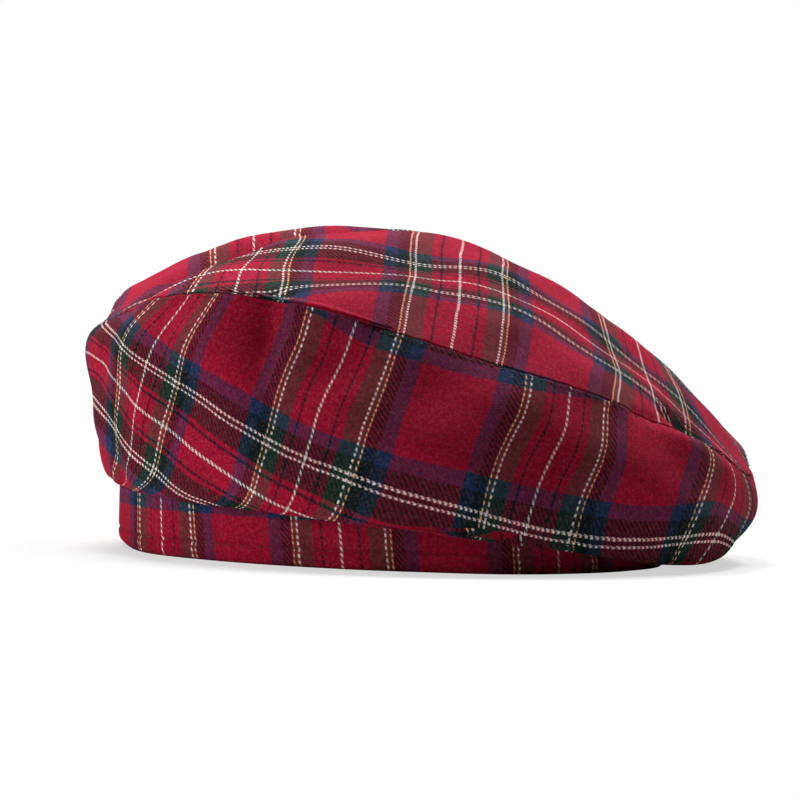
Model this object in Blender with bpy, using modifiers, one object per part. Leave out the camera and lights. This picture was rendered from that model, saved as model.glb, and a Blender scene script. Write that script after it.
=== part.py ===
"""A soft tartan tam at its real size, resting on its headband with the crown slouched to one side.

Metres, +Z up. +X is the side that the crown slouches to, -Y is the front. The origin lies on the
surface that the hat rests on, below the middle of the whole hat.

Three pieces of cloth, as the hat is cut: a straight headband, a curved strip that goes round as the
side of the crown, and a round top. The strip is sewn inside the headband's top edge, folds over it
and climbs to the seam of the top.
"""

import math
from collections import namedtuple

import bpy
import numpy as np

MM = 0.001

# ---- cloth and gaps, in millimetres ----
CROWN_CLOTH = 1.4  # one layer of brushed twill and its facing
BAND_CLOTH = 2.4  # two layers, turned at the hem
GAP = 0.3  # left between pieces that are sewn together

# ---- headband: an egg-shaped ring, blunt end towards +X ----
BAND_TALL = 32.0
BAND_LONG_END = 107.0  # from the band's middle to its -X end
BAND_BLUNT_END = 75.0  # to its +X end
BAND_HALF_DEPTH = 92.0  # to its front and back

# ---- crown: a row for each section round the headband's middle, 0 at +X and 90 at the back ----
# Each ring is a reach out from its middle and a height: the fold over the headband, the widest
# part of the side, and the seam of the top.
Section = namedtuple("Section", "turn fold_out fold_up belly_out belly_up seam_out seam_up")
SECTIONS = [
    Section(0, 93.5, 10, 105, 17.5, 108, 29),
    Section(30, 98, 12.5, 109, 29.5, 106.5, 51),
    Section(60, 99, 16.5, 107, 39.5, 102.5, 73),
    Section(90, 98, 17.5, 105.5, 45, 100, 89.5),
    Section(120, 99.5, 19.5, 108.5, 51.5, 103.5, 97),
    Section(150, 107, 23.5, 116.5, 57.5, 110.5, 91.5),
    Section(180, 111.5, 25, 117.5, 59.5, 110.5, 74),
    Section(210, 110.5, 20.5, 112, 52.5, 102.5, 82.5),
    Section(240, 105, 17, 105.5, 47, 93, 81),
    Section(270, 100.5, 12, 100.5, 39.5, 85, 69.5),
    Section(300, 95.5, 6, 101, 29.5, 91.5, 57),
    Section(330, 91.5, 2.5, 104.5, 17, 98, 40.5),
]
SEAM_MIDDLE = (-4.0, 17.0)  # where the top's middle lies in plan: the slouch
BELLY_SHARE = 0.5  # of that shift, at the belly

# ---- top: how far the cloth stands above a film stretched over its seam ----
DOME_UP = 35.5
DOME_POWER = 2.0  # higher is flatter on top and steeper at the seam

# Ridges and hollows of the top, each along a straight line in plan.
Fold = namedtuple("Fold", "name start end half_width up")
FOLDS = [
    Fold("valley behind the crest", (-92, -5), (-24, 33), 11, -9.5),
    Fold("front hollow", (-66, -48), (-8, -34), 12, -3.0),
]

# Dents of the side: where round the hat, how far up from fold to seam, and how deep.
Dent = namedtuple("Dent", "name turn half_turn rise half_rise deep")
DENTS = [
    Dent("hollow under the seam", 243, 13, 0.78, 0.22, 4.0),
    Dent("shoulder at the slouched end", 338, 12, 0.72, 0.2, 1.5),
]

# ---- how finely the pieces are divided ----
AROUND = 72
SIDE_STEPS = 10
TOP_STEPS = 12
BAND_STEPS = 3


def turns():
    """The direction of each column round the hat, in whole turns from +X."""
    return np.arange(AROUND) / AROUND


def around(values, turn):
    """A closed smooth curve (a cubic B-spline) through one value for each section."""
    values = np.asarray(values, float)
    count = len(values)
    waves = np.arange(count // 2 + 1)
    pull = (4 + 2 * np.cos(2 * np.pi * waves / count)) / 6
    knots = np.fft.irfft(np.fft.rfft(values) / pull, count)
    place = turn * count
    first = np.floor(place).astype(int)
    t = place - first
    weights = ((1 - t) ** 3, 3 * t**3 - 6 * t**2 + 4, -3 * t**3 + 3 * t**2 + 3 * t + 1, t**3)
    return sum(w / 6 * knots[(first + i - 1) % count] for i, w in enumerate(weights))


def through(rings, steps):
    """Rings on a smooth curve (a natural cubic) through the given rings, at steps even steps."""
    rings = np.asarray(rings)
    last = len(rings) - 1
    bend = np.eye(last + 1)
    right = np.zeros_like(rings)
    for i in range(1, last):
        bend[i, i - 1 : i + 2] = 1, 4, 1
        right[i] = 6 * (rings[i - 1] - 2 * rings[i] + rings[i + 1])
    curve = np.linalg.solve(bend, right.reshape(last + 1, -1)).reshape(rings.shape)
    made = []
    for place in np.linspace(0, last, steps + 1):
        i = min(int(place), last - 1)
        b = place - i
        a = 1 - b
        made.append(a * rings[i] + b * rings[i + 1] + ((a**3 - a) * curve[i] + (b**3 - b) * curve[i + 1]) / 6)
    return np.array(made)


def directions(turn):
    return np.stack([np.cos(2 * np.pi * turn), np.sin(2 * np.pi * turn)], axis=-1)


def ring(turn, out, up, middle=(0, 0)):
    """Points at a reach out from a middle, and at a height."""
    plan = directions(turn) * np.reshape(out, (-1, 1)) + middle
    return np.column_stack([plan, np.broadcast_to(up, turn.shape)])


def column(name):
    return [getattr(section, name) for section in SECTIONS]


def band_reach(turn):
    """From the headband's middle to its outer face: two half ellipses that share their depth."""
    flat = directions(turn)
    half_length = np.where(flat[:, 0] > 0, BAND_BLUNT_END, BAND_LONG_END)
    return 1 / np.hypot(flat[:, 0] / half_length, flat[:, 1] / BAND_HALF_DEPTH)


def swell(distance, half_width):
    return np.exp(-((distance / half_width) ** 2))


def dent_depth(turn, rise):
    """How far the side is pushed in at each column, at one height between fold and seam."""
    total = np.zeros_like(turn)
    for dent in DENTS:
        away = (turn * 360 - dent.turn + 180) % 360 - 180
        total += dent.deep * swell(away, dent.half_turn) * swell(rise - dent.rise, dent.half_rise)
    return total


def side_rings():
    """The side of the crown, from its sewn edge inside the fold up to the seam of the top."""
    turn = turns()
    belly_middle = np.array(SEAM_MIDDLE) * BELLY_SHARE
    rings = through(
        [
            ring(turn, band_reach(turn) + GAP + 0.2, BAND_TALL + GAP),
            ring(turn, around(column("fold_out"), turn), around(column("fold_up"), turn)),
            ring(turn, around(column("belly_out"), turn), around(column("belly_up"), turn), belly_middle),
            ring(turn, around(column("seam_out"), turn), around(column("seam_up"), turn), SEAM_MIDDLE),
        ],
        SIDE_STEPS,
    )
    out = directions(turn)
    for step, points in enumerate(rings[:-1]):
        rise = step / SIDE_STEPS * 1.5 - 0.5
        points[:, :2] -= out * dent_depth(turn, rise)[:, None]
    return rings


def fold_height(plan):
    """How far the folds lift or sink the top at each point of its plan."""
    total = np.zeros(len(plan))
    for fold in FOLDS:
        start, end = np.array(fold.start), np.array(fold.end)
        length = np.linalg.norm(end - start)
        along = (plan - start) @ (end - start) / length
        past = along - np.clip(along, 0, length)
        across = (plan - start) @ np.array([start[1] - end[1], end[0] - start[0]]) / length
        total += fold.up * swell(np.hypot(across, past), fold.half_width)
    return total


def top_rings(seam):
    """The top, from its seam to its middle, which is the last ring's single point."""
    turn = turns()
    share = np.fft.rfft(seam[:, 2]) / AROUND
    waves = np.arange(1, len(share))
    rings = []
    for step in range(TOP_STEPS + 1):
        reach = 1 - step / TOP_STEPS
        plan = SEAM_MIDDLE + (seam[:, :2] - SEAM_MIDDLE) * reach
        film = share[0].real + sum(
            2 * (share[w] * np.exp(2j * np.pi * w * turn)).real * reach**w for w in waves[:-1]
        )
        film += (share[-1] * np.exp(1j * np.pi * AROUND * turn)).real * reach ** waves[-1]
        folds = fold_height(plan) * (1 - reach**4)
        rings.append(np.column_stack([plan, film + DOME_UP * (1 - reach**DOME_POWER) + folds]))
    return np.array(rings)


def outward(rings):
    """A direction out of the cloth at each point, made longer at a corner so that walls stay even."""
    right = np.roll(rings, -1, axis=1)
    across = rings[1:] - right[:-1]
    along = right[1:] - rings[:-1]
    faces = np.cross(along, across)
    faces /= np.maximum(np.linalg.norm(faces, axis=2, keepdims=True), 1e-9)
    around_point = np.zeros((4,) + rings.shape)
    around_point[0, :-1] = faces
    around_point[1, 1:] = faces
    around_point[2:] = np.roll(around_point[:2], 1, axis=2)
    found = np.linalg.norm(around_point, axis=3).sum(axis=0)[..., None]
    mean = around_point.sum(axis=0) / found
    return mean / np.maximum((mean**2).sum(axis=2, keepdims=True), 0.2)


def pulled_back(rings, edge, inner):
    """The same rings with the one at a seam drawn back along the cloth by half the gap."""
    rings = rings.copy()
    away = rings[inner] - rings[edge]
    rings[edge] += away / np.linalg.norm(away, axis=1, keepdims=True) * GAP / 2
    return rings


def closed_cloth(name, outer, inner, pole):
    """One closed wall from the rings of its outer and inner face. A pole closes the last ring."""
    vertices, faces = [], []

    def add_skin(rings):
        rows = [list(range(len(vertices), len(vertices) + AROUND))]
        vertices.extend(rings[0])
        for points in rings[1:-1] if pole else rings[1:]:
            rows.append(list(range(len(vertices), len(vertices) + AROUND)))
            vertices.extend(points)
        if pole:
            rows.append([len(vertices)] * AROUND)
            vertices.append(rings[-1].mean(axis=0))
        for low, high in zip(rows, rows[1:]):
            for i in range(AROUND):
                j = (i + 1) % AROUND
                faces.append(list(dict.fromkeys([low[i], low[j], high[j], high[i]])))
        return rows

    outer_rows = add_skin(outer)
    outer_count = len(faces)
    inner_rows = add_skin(inner)
    faces[outer_count:] = [face[::-1] for face in faces[outer_count:]]
    edges = [(inner_rows[0], outer_rows[0])]
    if not pole:
        edges.append((outer_rows[-1], inner_rows[-1]))
    for low, high in edges:
        for i in range(AROUND):
            j = (i + 1) % AROUND
            faces.append([low[i], low[j], high[j], high[i]])
    mesh = bpy.data.meshes.new(name)
    mesh.from_pydata((np.array(vertices) * MM).tolist(), [], faces)
    return mesh


def cloth_material(name, colour):
    material = bpy.data.materials.new(name)
    material.use_nodes = True
    shader = material.node_tree.nodes["Principled BSDF"]
    shader.inputs["Base Color"].default_value = (*colour, 1)
    shader.inputs["Roughness"].default_value = 0.9
    shader.inputs["Metallic"].default_value = 0.0
    return material


def add_piece(collection, mesh, colour):
    piece = bpy.data.objects.new(mesh.name, mesh)
    collection.objects.link(piece)
    mesh.shade_smooth()
    mesh.set_sharp_from_angle(angle=math.radians(50))
    mesh.materials.append(cloth_material(mesh.name + " cloth", colour))
    return piece


def make_crown(collection, side, top):
    """The side and the top share one wall, which is parted at the seam between them."""
    whole = np.concatenate([side, top[1:]])
    lining = whole - outward(whole) * CROWN_CLOTH
    seam = len(side) - 1
    parts = {"crown_side": (slice(0, seam + 1), -1, -2), "crown_top": (slice(seam, None), 0, 1)}
    colours = {"crown_side": (0.36, 0.015, 0.04), "crown_top": (0.42, 0.02, 0.05)}
    for name, (rows, edge, inner) in parts.items():
        outer_face = pulled_back(whole[rows], edge, inner)
        inner_face = pulled_back(lining[rows], edge, inner)
        mesh = closed_cloth(name, outer_face, inner_face, pole=name == "crown_top")
        add_piece(collection, mesh, colours[name])


def make_headband(collection, middle):
    """A straight strip closed into a ring, and given its wall inwards from its outer face."""
    turn = turns()
    reach = band_reach(turn)
    rows = [ring(turn, reach, BAND_TALL * step / BAND_STEPS) - middle for step in range(BAND_STEPS + 1)]
    faces = []
    for low in range(0, BAND_STEPS * AROUND, AROUND):
        for i in range(AROUND):
            j = (i + 1) % AROUND
            faces.append([low + i, low + j, low + AROUND + j, low + AROUND + i])
    mesh = bpy.data.meshes.new("headband")
    mesh.from_pydata((np.concatenate(rows) * MM).tolist(), [], faces)
    band = add_piece(collection, mesh, (0.38, 0.015, 0.04))
    wall = band.modifiers.new("Wall", "SOLIDIFY")
    wall.thickness = BAND_CLOTH * MM
    wall.offset = -1


def main():
    for old in list(bpy.data.objects):
        bpy.data.objects.remove(old)
    collection = bpy.data.collections.new("tartan tam")
    bpy.context.scene.collection.children.link(collection)
    side = side_rings()
    top = top_rings(side[-1])
    plan = np.concatenate([side, top]).reshape(-1, 3)[:, :2]
    middle = np.array([*(plan.min(axis=0) + plan.max(axis=0)) / 2, 0])
    make_crown(collection, side - middle, top - middle)
    make_headband(collection, middle)


main()
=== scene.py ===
# %% [markdown]
# # A tartan tam, resting on its headband
# The hat is three pieces of cloth: a straight band, a curved side that billows over it, and a
# round top. Each is built here finer than its solid in the model, from the same named sizes, and
# then gets its woven cloth, its seams and its stitches. Lengths in the tables are millimetres.

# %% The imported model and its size
import math
from collections import namedtuple

import bmesh
import bpy
import numpy as np
from mathutils import Matrix, Vector


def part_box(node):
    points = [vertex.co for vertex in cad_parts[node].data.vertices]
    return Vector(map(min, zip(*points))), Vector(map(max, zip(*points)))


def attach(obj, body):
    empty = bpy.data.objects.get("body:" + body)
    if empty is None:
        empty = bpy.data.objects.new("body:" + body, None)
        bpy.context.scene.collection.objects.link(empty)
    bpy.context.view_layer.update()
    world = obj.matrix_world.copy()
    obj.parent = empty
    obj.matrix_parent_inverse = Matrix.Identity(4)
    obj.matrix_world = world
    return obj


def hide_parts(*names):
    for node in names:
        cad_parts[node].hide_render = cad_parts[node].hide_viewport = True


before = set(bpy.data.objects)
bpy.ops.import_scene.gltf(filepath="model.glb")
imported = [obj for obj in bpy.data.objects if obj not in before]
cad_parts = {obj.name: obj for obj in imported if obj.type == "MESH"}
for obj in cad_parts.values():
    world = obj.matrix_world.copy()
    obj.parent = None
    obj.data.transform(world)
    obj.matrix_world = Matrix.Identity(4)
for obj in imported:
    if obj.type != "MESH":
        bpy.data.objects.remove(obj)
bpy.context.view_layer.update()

# %% [markdown]
# ## The same named sizes as the model
# The band is an egg-shaped ring. The crown is drawn as rings round the band's middle: where the
# side folds over the band, its widest part, and the seam of the top. One row stands for one
# section round the hat. Writing the sizes as a table keeps the slouch easy to read and to change.

# %% Sizes of the band and the sections of the crown
MM = 0.001
BAND_TALL, BAND_LONG_END, BAND_BLUNT_END, BAND_HALF_DEPTH = 32.0, 107.0, 75.0, 92.0
Section = namedtuple("Section", "turn fold_out fold_up belly_out belly_up seam_out seam_up")
SECTIONS = [
    Section(0, 93.5, 10, 105, 17.5, 108, 29),
    Section(30, 98, 12.5, 109, 29.5, 106.5, 51),
    Section(60, 99, 16.5, 107, 39.5, 102.5, 73),
    Section(90, 98, 17.5, 105.5, 45, 100, 89.5),
    Section(120, 99.5, 19.5, 108.5, 51.5, 103.5, 97),
    Section(150, 107, 23.5, 116.5, 57.5, 110.5, 91.5),
    Section(180, 111.5, 25, 117.5, 59.5, 110.5, 74),
    Section(210, 110.5, 20.5, 112, 52.5, 102.5, 82.5),
    Section(240, 105, 17, 105.5, 47, 93, 81),
    Section(270, 100.5, 12, 100.5, 39.5, 85, 69.5),
    Section(300, 95.5, 6, 101, 29.5, 91.5, 57),
    Section(330, 91.5, 2.5, 104.5, 17, 98, 40.5),
]
SEAM_MIDDLE = np.array([-4.0, 17.0])  # where the top's middle lies in plan
BELLY_SHARE, DOME_UP, DOME_POWER = 0.5, 35.5, 2.0
Fold = namedtuple("Fold", "name start end half_width up")
FOLDS = [
    Fold("valley behind the crest", (-92, -5), (-24, 33), 11, -9.5),
    Fold("front hollow", (-66, -48), (-8, -34), 12, -3.0),
]
Dent = namedtuple("Dent", "name turn half_turn rise half_rise deep")
DENTS = [
    Dent("hollow under the seam", 243, 13, 0.78, 0.22, 4.0),
    Dent("shoulder at the slouched end", 338, 12, 0.72, 0.2, 1.5),
]
low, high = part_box("headband")
BAND_MIDDLE = np.array([high.x / MM - BAND_BLUNT_END, (low.y + high.y) / 2 / MM, 0.0])
print("band middle in the model, mm:", BAND_MIDDLE.round(2))

# %% [markdown]
# ## Smooth curves through a few rows
# Cloth has no corners between the rows of a table, so every ring runs on a closed smooth curve
# (a cubic B-spline) and every column on a natural cubic, the line that a bent spline takes. Both
# could be Blender curves, but as plain sums they give any number of points in one step.

# %% Curve helpers
AROUND = 480
TURN = np.arange(AROUND) / AROUND
LAP = np.arange(AROUND + 1) / AROUND  # the same columns, and the first one again
COMPASS = np.stack([np.cos(2 * np.pi * TURN), np.sin(2 * np.pi * TURN)], axis=-1)


def around(values):
    """One closed smooth curve through a value for each section, read at every column."""
    values = np.asarray(values, float)
    count = len(values)
    pull = (4 + 2 * np.cos(2 * np.pi * np.arange(count // 2 + 1) / count)) / 6
    knots = np.fft.irfft(np.fft.rfft(values) / pull, count)
    place = TURN * count
    first = np.floor(place).astype(int)
    t = place - first
    weights = ((1 - t) ** 3, 3 * t**3 - 6 * t**2 + 4, -3 * t**3 + 3 * t**2 + 3 * t + 1, t**3)
    return sum(w / 6 * knots[(first + i - 1) % count] for i, w in enumerate(weights))


def natural(places, values, at):
    """A natural cubic through values at the given places, read at other places."""
    x, y, at = np.asarray(places, float), np.asarray(values, float), np.asarray(at, float)
    flat = y.reshape(len(x), -1)
    h = np.diff(x)
    system, right = np.eye(len(x)), np.zeros_like(flat)
    for i in range(1, len(x) - 1):
        system[i, i - 1 : i + 2] = h[i - 1], 2 * (h[i - 1] + h[i]), h[i]
        right[i] = 6 * ((flat[i + 1] - flat[i]) / h[i] - (flat[i] - flat[i - 1]) / h[i - 1])
    bend = np.linalg.solve(system, right)
    i = np.clip(np.searchsorted(x, at) - 1, 0, len(x) - 2)
    b = ((at - x[i]) / h[i])[:, None]
    a = 1 - b
    wide = (h[i] ** 2 / 6)[:, None]
    read = a * flat[i] + b * flat[i + 1] + wide * ((a**3 - a) * bend[i] + (b**3 - b) * bend[i + 1])
    return read.reshape(at.shape + y.shape[1:])


def ring(out, up, middle=(0, 0)):
    """Points at a reach out from a middle, and at a height."""
    plan = COMPASS * np.reshape(out, (-1, 1)) + middle
    return np.column_stack([plan, np.broadcast_to(up, TURN.shape)])


def lap_length(points):
    """The distance round a closed ring at each of its points, and at the first one again."""
    steps = np.linalg.norm(np.roll(points, -1, axis=0) - points, axis=1)
    return np.concatenate([[0], np.cumsum(steps)])


def swell(distance, half_width):
    """A soft bump: 1 in the middle, 0.37 at the half width and 0 far away."""
    return np.exp(-((distance / half_width) ** 2))


def column(name):
    """One column of the table of sections, as a smooth curve round the hat."""
    return around([getattr(section, name) for section in SECTIONS])


# %% [markdown]
# ## The crown's surface
# Level 0 is the sewn edge on the band, 1 the fold, 2 the belly and 3 the seam of the top. The top
# is a film stretched over its wavy seam, lifted to a dome, with soft folds pressed in. The levels
# crowd together near the seam, where the cloth will turn inwards.

# %% Rings of the side and the top
NEAR_SEAM = [2.95, 2.965, 2.975, 2.983, 2.989, 2.994, 3.0]
SIDE_LEVELS = np.concatenate([np.linspace(0, 2.93, 58), NEAR_SEAM])
NEAR_RIM = [1, 0.997, 0.994, 0.99, 0.984, 0.976, 0.966]
TOP_LEVELS = np.concatenate([NEAR_RIM, np.linspace(0.95, 0, 44)])
SEWN_OUT, SEWN_UP = 0.5, 0.3  # the side's lower edge, off the band's top edge
FILM_WAVES = np.arange(1, 60)  # waves round the seam that the top's film follows


def band_reach():
    """From the band's middle to its outer face: two half ellipses that share their depth."""
    half_length = np.where(COMPASS[:, 0] > 0, BAND_BLUNT_END, BAND_LONG_END)
    return 1 / np.hypot(COMPASS[:, 0] / half_length, COMPASS[:, 1] / BAND_HALF_DEPTH)


def dent_depth(rise):
    """How far the side is pressed in, from 0 at its fold to 1 at its seam."""
    total = np.zeros(AROUND)
    for dent in DENTS:
        away = (TURN * 360 - dent.turn + 180) % 360 - 180
        total += dent.deep * swell(away, dent.half_turn) * swell(rise - dent.rise, dent.half_rise)
    return total


def side_rings():
    """The side, level by level, from the band's top edge to the seam."""
    guides = [
        ring(band_reach() + SEWN_OUT, BAND_TALL + SEWN_UP),
        ring(column("fold_out"), column("fold_up")),
        ring(column("belly_out"), column("belly_up"), SEAM_MIDDLE * BELLY_SHARE),
        ring(column("seam_out"), column("seam_up"), SEAM_MIDDLE),
    ]
    rings = natural(range(4), guides, SIDE_LEVELS)
    for level, points in zip(SIDE_LEVELS[:-1], rings[:-1]):
        points[:, :2] -= COMPASS * dent_depth((level - 1) / 2)[:, None]
    return rings


def fold_height(plan):
    """How far the folds lift or press the top at points seen from above."""
    total = np.zeros(len(plan))
    for fold in FOLDS:
        start, end = np.array(fold.start), np.array(fold.end)
        length = np.linalg.norm(end - start)
        along = (plan - start) @ (end - start) / length
        past = along - np.clip(along, 0, length)
        across = (plan - start) @ np.array([start[1] - end[1], end[0] - start[0]]) / length
        total += fold.up * swell(np.hypot(across, past), fold.half_width)
    return total


def top_rings(seam):
    """The top, from its seam to its middle: a film on the seam's waves, a dome and its folds."""
    share = np.fft.rfft(seam[:, 2]) / AROUND
    turning = np.exp(2j * np.pi * np.outer(FILM_WAVES, TURN))
    rings = []
    for reach in TOP_LEVELS:
        plan = SEAM_MIDDLE + (seam[:, :2] - SEAM_MIDDLE) * reach
        film = share[0].real + 2 * ((share[FILM_WAVES] * reach**FILM_WAVES) @ turning).real
        folds = fold_height(plan) * (1 - reach**4)
        rings.append(np.column_stack([plan, film + DOME_UP * (1 - reach**DOME_POWER) + folds]))
    return np.array(rings)


# %% [markdown]
# ## Where the cloth gives
# Soft cloth is never as even as its pattern. The table presses single places in or out, and three
# slow waves run through the whole crown. Each is a field in space that moves the side and the top
# alike, so the two stay joined at their seam. A noise modifier would tear them apart there.

# %% Presses and slow waves
Press = namedtuple("Press", "name start end half_width push")
PRESSES = [
    Press("hollow beside the big square", (-56, -60, 84), (-59, -74, 60), 5.5, (0.5, 2.4, -0.6)),
    Press("swelling left of the hollow", (-72, -57, 78), (-73, -64, 66), 9, (-0.8, -1.6, 0.4)),
    Press("pocket in the slouched end", (73, -33, 49), (80, -25, 44.5), 5, (-3.4, 1.4, -3.4)),
    Press("roll below the pocket", (75, -43, 41), (92, -28, 33), 8, (1.6, -1.1, 1.3)),
    Press("crease at the blunt end", (60, -52, 50), (76, -37, 43), 3, (-0.7, 0.5, -0.8)),
    Press("fold down the long end", (-113, -20, 62), (-104, -40, 24), 7, (1.3, 0.9, 0)),
    Press("ridge beside that fold", (-104, -41, 66), (-94, -55, 34), 8, (-0.9, -0.9, 0)),
    Press("fold low on the long end", (-117, 6, 46), (-110, -22, 30), 6, (1.2, 0.3, 0.3)),
]
Wave = namedtuple("Wave", "height turn_per_mm start")
WAVES = [
    Wave(0.50, (0.10, 0.06, 0.19), 0.3),
    Wave(0.40, (-0.15, 0.12, 0.10), 1.9),
    Wave(0.30, (0.07, -0.24, 0.21), 4.0),
]
HEART = np.array([-4.0, 10.0, 40.0])  # the waves move the cloth to and from this point


def given(rings, hold):
    """The rings after the presses and waves; hold, one number a ring, keeps sewn edges still."""
    moved = np.zeros_like(rings)
    for press in PRESSES:
        start, end = np.array(press.start), np.array(press.end)
        span = end - start
        share = np.clip((rings - start) @ span / (span @ span), 0, 1)
        away = np.linalg.norm(rings - start - share[..., None] * span, axis=-1)
        moved += swell(away, press.half_width)[..., None] * np.array(press.push)
    out = rings - HEART
    out /= np.linalg.norm(out, axis=-1, keepdims=True)
    swing = sum(w.height * np.sin(rings @ np.array(w.turn_per_mm) + w.start) for w in WAVES)
    return rings + (moved + out * swing[..., None]) * np.reshape(hold, (-1, 1, 1))


JOINS = (174 / 360, 366 / 360)  # the two seams that join the strips of the side
END_SEAM_DEEP, END_SEAM_HALF = 0.9, 1.1  # mm, degrees
END_SEAM_FADE = 0.2  # levels below the top's seam over which the groove runs out


def degrees_from(turn):
    """Every column's place round the hat, in degrees from the given turn, -180 to 180."""
    return (TURN * 360 - turn * 360 + 180) % 360 - 180


def side_with_end_seams(rings):
    """The side with a narrow groove down each end, where its two strips are sewn together."""
    groove = sum(swell(degrees_from(join), END_SEAM_HALF) for join in JOINS)
    deep = END_SEAM_DEEP * np.clip(3 - SIDE_LEVELS, 0, END_SEAM_FADE) / END_SEAM_FADE
    rings = rings.copy()
    rings[..., :2] -= COMPASS * (groove[None] * deep[:, None])[..., None]
    return rings


def eased(level, whole_from):
    """A smooth step from 0 at level 0 to 1 at the given level."""
    share = np.clip(np.asarray(level) / whole_from, 0, 1)
    return share * share * (3 - 2 * share)


side = side_rings()
top = given(top_rings(side[-1]), np.ones(len(TOP_LEVELS)))
side = side_with_end_seams(given(side, eased(SIDE_LEVELS, 1.0)))
print("side rings:", side.shape, "top rings:", top.shape)

# %% [markdown]
# ## Directions out of the cloth
# A wall of even thickness needs the direction out of the surface at every point. Averaging the
# faces round a point gives it, made a little longer at a bend so that both walls stay parallel.

# %% Outward directions and distances along a column
MOST_BEND = 0.3  # the least squared length of a mean direction, so a sharp edge stays in bounds


def outward(rings):
    """The direction out of the surface at each point, longer at a bend."""
    right = np.roll(rings, -1, axis=1)
    faces = np.cross(right[1:] - rings[:-1], rings[1:] - right[:-1])
    faces /= np.maximum(np.linalg.norm(faces, axis=2, keepdims=True), 1e-9)
    corners = np.zeros((4,) + rings.shape)
    corners[0, :-1], corners[1, 1:] = faces, faces
    corners[2:] = np.roll(corners[:2], 1, axis=2)
    mean = corners.sum(axis=0) / np.linalg.norm(corners, axis=3).sum(axis=0)[..., None]
    return mean / np.maximum((mean**2).sum(axis=2, keepdims=True), MOST_BEND)


def unit(vectors):
    """Vectors of the same directions, of length 1."""
    return vectors / np.maximum(np.linalg.norm(vectors, axis=-1, keepdims=True), 1e-9)


def run_down(rings):
    """The distance from each ring to the last one, along every column."""
    steps = np.linalg.norm(np.diff(rings, axis=0), axis=2)
    return np.concatenate([np.cumsum(steps[::-1], axis=0)[::-1], np.zeros((1, rings.shape[1]))])


# %% [markdown]
# ## The seam between side and top
# On the hat both cloths turn inwards at the seam and hang inside as a narrow seam allowance, so
# the outside shows a soft groove. A bevel would round the edge, but it would leave no cloth
# inside. Here the last rings roll down a quarter circle and run on inwards.

# %% Rolling an edge into the seam
CLOTH = 1.2
ROLL_SIDE, ROLL_TOP = 0.9, 0.5
ALLOWANCE = (0.4, 1.2, 2.5, 4.5, 7.0)  # the rings of the cloth that hangs inside
SEAM_APART, SEAM_SPREAD, ROLL_RINGS = 0.05, 0.01, 7
PUCKER, PUCKER_REACH = 0.14, 4.0
COARSE_RIPPLES, RIPPLE_FADES, FINE_RIPPLES = 61, 7, 97  # all round the seam
whole = np.concatenate([side, top[1:]])
seam_out = unit(outward(whole)[len(side) - 1])


def puckered(rings):
    """Small ripples that the seam's stitches draw into the cloth, dying away from the seam."""
    angle = 2 * np.pi * TURN
    ripple = np.sin(COARSE_RIPPLES * angle) * (0.6 + 0.4 * np.sin(RIPPLE_FADES * angle + 1))
    ripple += 0.5 * np.sin(FINE_RIPPLES * angle + 2)
    return rings + seam_out * (PUCKER * ripple * swell(run_down(rings), PUCKER_REACH))[..., None]


side = puckered(side)
top = puckered(top[::-1])[::-1]


def rolled(rings, radius):
    """The rings with their last one at the seam rolled inwards, and the allowance added."""
    back = run_down(rings)
    sink = radius - np.sqrt(np.maximum(radius**2 - np.maximum(radius - back, 0) ** 2, 0))
    rolled_rings = rings - seam_out[None] * sink[..., None]
    own_side = unit(rings[-1 - ROLL_RINGS] - rings[-1])
    tail = [
        rings[-1] - seam_out * (radius + deep) + own_side * (SEAM_APART + SEAM_SPREAD * deep)
        for deep in ALLOWANCE
    ]
    rolled_rings[-1] += own_side * SEAM_APART
    return np.concatenate([rolled_rings, tail])


side_outer = rolled(side, ROLL_SIDE)
top_outer = rolled(top[::-1], ROLL_TOP)[::-1]
print("seam length, mm:", round(float(lap_length(side[-1])[-1])))

# %% [markdown]
# ## Where the threads lie
# Tartan is woven in straight lines on flat cloth, and the cut pieces carry them round the hat.
# For the front of the side a table gives the place of the cloth at four levels: how far along
# the strip a point was before it was sewn (warp) and how far up (weft). The back half is its own
# strip, laid out by plain arc lengths, and joins the front in a seam at each end of the hat.

# %% Grain of the side
Lie = namedtuple(
    "Lie", "turn warp_fold warp_low warp_high warp_seam weft_fold weft_low weft_high weft_seam"
)
FRONT_LIE = [  # turn in degrees; the rest in mm of cloth at the fold, two levels and the seam
    Lie(174, -64, -67, -72, -78, -39, -13, 7, 14),
    Lie(190, -27, -38, -40, -46, -36, -18, 7, 21),
    Lie(205, 10, -11, -12, -22, -30, -12, 16, 34),
    Lie(220, 36, 21, 15, 6, -20, -2, 26, 48),
    Lie(235, 61, 50, 46, 41, -9, 10, 36, 58),
    Lie(250, 89, 81, 74, 68, 3, 18, 45.5, 66.3),
    Lie(270, 121, 115, 108, 102, 8, 22.5, 47.8, 70),
    Lie(290, 157, 154, 141, 132, 12, 24, 48.3, 67),
    Lie(310, 186, 186, 180, 170, 9, 21, 43, 61),
    Lie(330, 220, 222, 208, 203, 4, 15, 31, 51),
    Lie(350, 236, 240, 238, 242, 9, 22, 35, 45),
    Lie(366, 255, 262, 270, 278, 9, 20, 31, 39),
]
LIE_LEVELS = (1, 5 / 3, 7 / 3, 3)
UNDER_FOLD = np.array([1.0, 0.4])  # how fast warp and weft run on between the fold and the band
FOLD_STEP = 0.02  # levels; the short step that measures how fast they run at the fold
BACK_RADIUS, BACK_WEFT = 330.0, 20.0  # the back strip's curve, and its weft distance at the belly
BACK_MIDDLE, BACK_OTHER_WAY = 0.25, 0.75  # turns; past the second one counts backwards


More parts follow.
